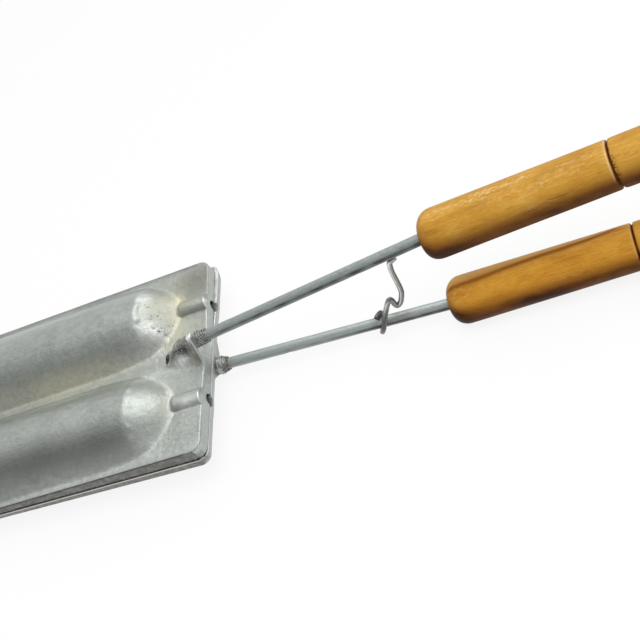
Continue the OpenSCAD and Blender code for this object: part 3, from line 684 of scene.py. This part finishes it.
def latchPiece(material):
    route = latchRoute()
    path = bpy.data.curves.new("latch", "CURVE")
    path.dimensions = "3D"
    path.bevel_depth = latch["wire"]
    path.bevel_resolution = 5
    path.use_fill_caps = True
    path.resolution_u = 10
    spline = path.splines.new("BEZIER")
    spline.bezier_points.add(len(route) - 1)
    for i, (point, co) in enumerate(zip(spline.bezier_points, route)):
        along = (route[min(i + 1, len(route) - 1)] - route[max(i - 1, 0)]) / 6
        point.co, point.handle_left, point.handle_right = co, co - along, co + along
        # the cut end is drawn thinner
        point.radius = 0.62 if i == len(route) - 1 else 0.86 if i == len(route) - 2 else 1
    holder = bpy.data.objects.new("latch_path", path)
    bm = bmesh.new()
    bm.from_mesh(holder.to_mesh())
    bpy.data.objects.remove(holder)
    bpy.data.curves.remove(path)
    bmesh.ops.remove_doubles(bm, verts=bm.verts, dist=1e-4)
    ends = [e for e in bm.edges if any(len(f.verts) > 4 for f in e.link_faces)]
    bmesh.ops.bevel(bm, geom=ends, offset=0.45, offset_type="OFFSET", affect="EDGES", segments=3, profile=0.5,
                    material=-1, clamp_overlap=True)
    for v in bm.verts:
        v.co += v.normal * 0.07 * noise.noise(v.co * 0.5)
    paint(bm, "rust", lambda c: 0.5 * (1 - ramp(c.z, 11, 17)) * (c.x < 11) + 0.3 * exp(-((c.z - 12) / 2) ** 2))
    # darker towards the bottom of the wire
    paint(bm, "line", lambda c: 0.5 * (1 - ramp(c.z, 10, 19)) * (c.x < 12) + 0.25 * (c.z < 22))
    # painted highlight: a lighter streak on the side toward the near edge, facing up
    bm.normal_update()
    worn = bm.verts.layers.float.new("painted_light")
    for v in bm.verts:
        v[worn] = ramp(v.normal.dot(Vector((-0.35, -0.75, 0.56))), 0.8, 0.97) * ramp(v.co.z, 6, 16)
    place = headed((0, rods["side"], lowerRod["height"]), lowerRod["rise"], lowerRod["turn"])
    bmesh.ops.transform(bm, matrix=toRow @ place @ Matrix.Translation((latch["at"], 0, 0)), verts=bm.verts)
    finishPiece(bm, "latch_hook", "latch", "latch_wire", material, 40)


def scaled(add, size, turn=(0, 0, 0)):
    # object coordinates in millimetres, turned, then multiplied by size
    place = add("TexCoord").outputs["Object"]
    turned = add("Mapping", [(place, "Vector")], vector_type="POINT", Rotation=turn)
    return add("Mapping", [(turned.outputs["Vector"], "Vector")], Scale=[k * 1000 for k in size]).outputs["Vector"]


def attribute(add, name):
    return add("Attribute", attribute_name=name).outputs["Fac"]


def stretched(add, value, low, high, a, b):
    node = add("MapRange", [(value, "Value")], To_Min=a, To_Max=b)
    node.inputs["From Min"].default_value = low
    node.inputs["From Max"].default_value = high
    return node.outputs["Result"]


def times(add, a, b):
    return add("Math", [(a, 0), (b, 1)], operation="MULTIPLY", use_clamp=True).outputs[0]


def tinted(add, colour, amount, tint):
    mix = add("Mix", [(amount, "Factor"), (colour, "A")], data_type="RGBA")
    mix.inputs["B"].default_value = (*tint, 1)
    return mix.outputs["Result"]


def ramped(add, value, stops):
    node = add("ValToRGB", [(value, "Fac")])
    marks = node.color_ramp.elements
    for (place, colour), mark in zip(stops, marks):
        mark.position, mark.color = place, (*colour, 1)
    for place, colour in stops[2:]:
        marks.new(place).color = (*colour, 1)
    return node.outputs["Color"]


def newMaterial(name):
    material = bpy.data.materials.new(name)
    material.use_nodes = True
    return material, nodeMaker(material), material.node_tree.nodes["Principled BSDF"]


def castAluminium():
    material, add, shader = newMaterial("cast_aluminium")
    link = material.node_tree.links.new
    even = scaled(add, (1, 1, 1))
    lengthwise = scaled(add, (0.06, 1.7, 1.7))
    grain = add("TexNoise", [(even, "Vector")], Scale=1.25, Detail=4, Roughness=0.65).outputs["Fac"]
    mottle = add("TexNoise", [(even, "Vector")], Scale=0.33, Detail=6, Roughness=0.68).outputs["Fac"]
    cloud = add("TexNoise", [(even, "Vector")], Scale=0.045, Detail=4, Distortion=0.6).outputs["Fac"]
    scratch = add("TexNoise", [(lengthwise, "Vector")], Scale=1, Detail=3).outputs["Fac"]
    mixed = add("Mix", [(mottle, "A"), (cloud, "B")], Factor=0.45, data_type="FLOAT").outputs["Result"]
    lined = add("Mix", [(mixed, "A"), (scratch, "B")], Factor=0.22, data_type="FLOAT").outputs["Result"]
    colour = ramped(add, lined, [(0.33, (0.30, 0.325, 0.305)), (0.68, (0.52, 0.55, 0.52))])
    patchy = stretched(add, mottle, 0.35, 0.65, 0.65, 1.15)
    speckled = stretched(add, grain, 0.4, 0.58, 0.35, 1.3)
    # painted shade (with tarnish and soot) and painted highlights are mixed into the colour along with the warm and
    # brown stains
    for name, tint in (("tarnish_and_shade", (0.15, 0.146, 0.132)), ("warm", (0.59, 0.575, 0.40)),
                       ("brown", (0.21, 0.185, 0.11)), ("painted_highlight", (0.86, 0.88, 0.86)),
                       ("soot_and_shade", (0.02, 0.017, 0.014))):
        amount = times(add, attribute(add, name), speckled if name == "soot_and_shade" else patchy)
        colour = tinted(add, colour, amount, tint)
    coarse = stretched(add, attribute(add, "coarse"), 0, 1, 0, 0.7)
    finish = add("Mix", [(coarse, "Factor"), (stretched(add, mottle, 0.3, 0.7, 0.33, 0.47), "A")], B=0.72,
                 data_type="FLOAT").outputs["Result"]
    rough = add("Math", [(amount, 0), (finish, 1)], operation="MAXIMUM")
    low = add("Bump", [(mottle, "Height")], Strength=0.55, Distance=0.0006).outputs["Normal"]
    rugged = add("Bump", [(grain, "Height"), (low, "Normal"), (coarse, "Strength")], Distance=0.0006).outputs["Normal"]
    fine = add("Bump", [(grain, "Height"), (rugged, "Normal")], Strength=0.6, Distance=0.0002).outputs["Normal"]
    link(colour, shader.inputs["Base Color"])
    link(rough.outputs[0], shader.inputs["Roughness"])
    dull = add("Math", [(amount, 0), (coarse, 1)], operation="MAXIMUM").outputs[0]
    link(stretched(add, dull, 0, 1, 1, 0.2), shader.inputs["Metallic"])
    link(fine, shader.inputs["Normal"])
    return material


def drawnSteel(name, dark, light, rough, metal=1, bumps=0.5, painted_light=(0.5, 0.56, 0.545)):
    # bar or wire with lengthwise drawing lines, a little rust, painted light and painted darkening
    material, add, shader = newMaterial(name)
    link = material.node_tree.links.new
    even = scaled(add, (1, 1, 1))
    lengthwise = scaled(add, (0.09, 2.4, 2.4), (0, radians(3), 0))
    lines = add("TexNoise", [(lengthwise, "Vector")], Scale=1, Detail=5, Roughness=0.6).outputs["Fac"]
    spots = add("TexNoise", [(even, "Vector")], Scale=0.7, Detail=6, Roughness=0.7).outputs["Fac"]
    mixed = add("Mix", [(lines, "A"), (spots, "B")], Factor=0.45, data_type="FLOAT").outputs["Result"]
    colour = ramped(add, mixed, [(0.35, dark), (0.66, light)])
    stained = times(add, attribute(add, "rust"), stretched(add, spots, 0.42, 0.62, 0.1, 1.2))
    colour = tinted(add, colour, stained, (0.11, 0.07, 0.045))
    specks = stretched(add, spots, 0.66, 0.72, 0, 0.8)
    colour = tinted(add, colour, specks, (0.10, 0.075, 0.055))
    # painted light
    colour = tinted(add, colour, times(add, attribute(add, "painted_light"), stretched(add, spots, 0.3, 0.6, 0.7, 1)), painted_light)
    # painted shade: the dark band along the bars' near side; on the wire, darker towards the bottom
    darkening = times(add, attribute(add, "line"), stretched(add, lines, 0.3, 0.6, 0.6, 1))
    colour = tinted(add, colour, darkening, (0.045, 0.044, 0.037))
    bump = add("Bump", [(mixed, "Height")], Strength=bumps, Distance=0.0003).outputs["Normal"]
    link(colour, shader.inputs["Base Color"])
    link(stretched(add, mixed, 0.3, 0.7, rough - 0.06, rough + 0.1), shader.inputs["Roughness"])
    link(stretched(add, stained, 0, 1, metal, 0.25), shader.inputs["Metallic"])
    link(bump, shader.inputs["Normal"])
    return material


def turnedWood(name, rise, turn, dark, middle, light):
    # varnished wood with its grain along the grip, worn pale in places, with painted shade on the underside, the far
    # top edge and the groove
    material, add, shader = newMaterial(name)
    link = material.node_tree.links.new
    spin = (0, radians(rise), -radians(turn))
    fibres = add("TexNoise", [(scaled(add, (0.05, 0.9, 0.9), spin), "Vector")], Scale=1, Detail=9,
                 Roughness=0.72, Distortion=0.3).outputs["Fac"]
    pores = add("TexNoise", [(scaled(add, (0.22, 2.6, 2.6), spin), "Vector")], Scale=1, Detail=3).outputs["Fac"]
    blotches = add("TexNoise", [(scaled(add, (0.045, 0.12, 0.12), spin), "Vector")], Scale=1, Detail=5,
                   Roughness=0.6).outputs["Fac"]
    flakes = add("TexNoise", [(scaled(add, (0.4, 0.75, 0.75), spin), "Vector")], Scale=1, Detail=3,
                 Roughness=0.55).outputs["Fac"]
    hairs = add("TexNoise", [(scaled(add, (0.3, 6, 6), spin), "Vector")], Scale=1, Detail=3).outputs["Fac"]
    crumbs = add("TexNoise", [(scaled(add, (1.3, 1.9, 1.9), spin), "Vector")], Scale=1, Detail=4).outputs["Fac"]
    mixed = add("Mix", [(fibres, "A"), (blotches, "B")], Factor=0.6, data_type="FLOAT").outputs["Result"]
    colour = ramped(add, mixed, [(0.3, dark), (0.72, light), (0.5, middle)])
    colour = tinted(add, colour, stretched(add, hairs, 0.5, 0.7, 0, 0.5), [c * 0.7 for c in dark])
    colour = tinted(add, colour, stretched(add, pores, 0.60, 0.72, 0, 0.45), [c * 0.45 for c in dark])
    colour = tinted(add, colour, times(add, attribute(add, "band"), stretched(add, fibres, 0.3, 0.6, 0.35, 0.7)),
                    (0.60, 0.35, 0.115))
    colour = tinted(add, colour, times(add, attribute(add, "seam"), stretched(add, fibres, 0.3, 0.55, 0.6, 1)),
                    (0.27, 0.09, 0.001))
    worn = times(add, attribute(add, "scraped"), stretched(add, flakes, 0.47, 0.64, 0, 0.8))
    worn = add("Math", [(worn, 0), (times(add, attribute(add, "rim"), stretched(add, crumbs, 0.3, 0.5, 0.5, 1)), 1)],
               operation="MAXIMUM").outputs[0]
    colour = tinted(add, colour, worn, (0.82, 0.63, 0.34))
    ripped = times(add, attribute(add, "torn"), stretched(add, crumbs, 0.46, 0.56, 0, 1.2))
    colour = tinted(add, colour, ripped, (0.045, 0.018, 0.007))
    split = times(add, attribute(add, "cracked"), stretched(add, pores, 0.52, 0.62, 0, 1))
    colour = tinted(add, colour, split, (0.13, 0.05, 0.015))
    # painted shade mixed with grime, darker still where it is strong
    grimeAndShade = times(add, attribute(add, "grime_and_shade"), stretched(add, blotches, 0.3, 0.6, 0.75, 1.05))
    colour = tinted(add, colour, grimeAndShade, (0.30, 0.10, 0.012))
    colour = tinted(add, colour, times(add, grimeAndShade, grimeAndShade), (0.055, 0.017, 0.006))
    rough = stretched(add, worn, 0, 1, 0.42, 0.75)
    low = add("Bump", [(fibres, "Height")], Strength=0.35, Distance=0.0004).outputs["Normal"]
    flaked = add("Bump", [(worn, "Height"), (low, "Normal")], Strength=0.5, Distance=0.0002).outputs["Normal"]
    fine = add("Bump", [(pores, "Height"), (flaked, "Normal")], Strength=0.25, Distance=0.0002).outputs["Normal"]
    link(colour, shader.inputs["Base Color"])
    link(rough, shader.inputs["Roughness"])
    link(fine, shader.inputs["Normal"])
    shader.inputs["Specular IOR Level"].default_value = 0.06
    return material


camera = dict(place=(0.22888, -0.34850, 0.45091), turn=(36.368, 24.969, -1.057), lens=64.93)


def makeCamera():
    lens = bpy.data.cameras.new("camera")
    lens.lens = camera["lens"]
    eye = bpy.data.objects.new("camera", lens)
    eye.location = camera["place"]
    eye.rotation_euler = Euler([radians(a) for a in camera["turn"]])
    scene.collection.objects.link(eye)
    scene.camera = eye


def makeStage():
    bm = bmesh.new()
    bmesh.ops.create_grid(bm, x_segments=2, y_segments=2, size=6)
    mesh = bpy.data.meshes.new("floor")
    bm.to_mesh(mesh)
    bm.free()
    floor = bpy.data.objects.new("floor", mesh)
    scene.collection.objects.link(floor)
    material, add, shader = newMaterial("floor")
    shader.inputs["Roughness"].default_value = 0.9
    # seen directly, mirrored or through something, the floor is mostly plain white
    rays = add("LightPath")
    mirrored = add("Math", [(rays.outputs["Is Camera Ray"], 0), (rays.outputs["Is Glossy Ray"], 1)],
                   operation="MAXIMUM")
    seen = add("Math", [(mirrored.outputs[0], 0), (rays.outputs["Is Transmission Ray"], 1)], operation="MAXIMUM")
    share = stretched(add, seen.outputs[0], 0, 1, 0, 0.86)
    link = material.node_tree.links.new
    link(stretched(add, seen.outputs[0], 0, 1, 0.5, 0.9), shader.inputs["Base Color"])
    glow = add("Emission", Color=(1, 1, 1, 1), Strength=1)
    mix = add("MixShader", [(share, 0), (shader.outputs[0], 1), (glow.outputs[0], 2)])
    # clear from below
    clear = add("BsdfTransparent")
    mix = add("MixShader", [(add("NewGeometry").outputs["Backfacing"], 0), (mix.outputs[0], 1), (clear.outputs[0], 2)])
    link(mix.outputs[0], material.node_tree.nodes["Material Output"].inputs["Surface"])
    mesh.materials.append(material)


studio = dict(strength=0.95, towards=(0.5, 0.78, 0.1),
              levels=[(0.2, 0.42), (0.8, 0.92), (0.335, 0.54), (0.525, 0.84), (0.615, 0.92)])
# the window shows in the metal, the front lamp lights the wood
lamps = [("window", (0.05, 0.57, 0.88), (0.5, 0.8), 3.9, True),
         ("front", (0.26, -0.2, 1.0), (0.7, 0.7), 6, False)]


def makeLights():
    # a soft room, brighter behind and to the right
    world = bpy.data.worlds.new("studio")
    world.use_nodes = True
    scene.world = world
    add = nodeMaker(world)
    way = add("TexCoord").outputs["Generated"]
    facing = add("VectorMath", [(way, 0)], operation="DOT_PRODUCT")
    facing.inputs[1].default_value = Vector(studio["towards"]).normalized()
    room = ramped(add, stretched(add, facing.outputs["Value"], -1, 1, 0, 1),
                  [(place, (level,) * 3) for place, level in studio["levels"]])
    background = world.node_tree.nodes["Background"]
    world.node_tree.links.new(room, background.inputs["Color"])
    background.inputs["Strength"].default_value = studio["strength"]
    for name, place, size, power, mirrored in lamps:
        lamp = bpy.data.lights.new(name, "AREA")
        lamp.shape = "RECTANGLE"
        lamp.size, lamp.size_y = size
        lamp.energy = power
        obj = bpy.data.objects.new(name, lamp)
        obj.location = place
        obj.visible_glossy = mirrored
        obj.visible_diffuse = not mirrored
        obj.rotation_euler = (Vector((-0.02, 0, 0.02)) - Vector(place)).to_track_quat("-Z", "Y").to_euler()
        scene.collection.objects.link(obj)


makeCamera()
makeStage()
makeLights()
print("camera, floor and lights made")
cast = castAluminium()
bar = drawnSteel("bar_steel", (0.215, 0.245, 0.24), (0.375, 0.42, 0.41), 0.34, 0.4)
wire = drawnSteel("wire_steel", (0.17, 0.172, 0.166), (0.34, 0.35, 0.34), 0.2, 1, 0.12, (0.85, 0.87, 0.86))
fittings = drawnSteel("fitting_steel", (0.22, 0.225, 0.22), (0.42, 0.43, 0.42), 0.36)
upperWood = turnedWood("upper_wood", upperRod["gripRise"], upperRod["gripTurn"],
                       (0.36, 0.165, 0.022), (0.56, 0.29, 0.043), (0.72, 0.43, 0.10))
lowerWood = turnedWood("lower_wood", lowerRod["gripRise"], lowerRod["gripTurn"],
                       (0.45, 0.185, 0.02), (0.67, 0.32, 0.04), (0.82, 0.44, 0.07))
casting(upperHalf, cast)
casting(lowerHalf, cast)
for rod, grip, wood in ((upperRod, upperGrip, upperWood), (lowerRod, lowerGrip, lowerWood)):
    place = barPiece(rod, bar)
    gripPiece(grip, place, wood)
    side = rod["name"].split("_")[0]
    washerPiece(side + "_disc", side + "_washer", rod["body"], place, fittings)
pinPiece(fittings)
latchPiece(wire)

nodeLooks = dict(upper_plate=cast, lower_plate=cast, upper_grip=upperWood, lower_grip=lowerWood,
                 upper_rod=bar, lower_rod=bar, latch_wire=wire)
for name, node in frame["nodes"].items():
    node.data.materials.clear()
    node.data.materials.append(nodeLooks.get(name, fittings))

scene.view_settings.view_transform = "Standard"
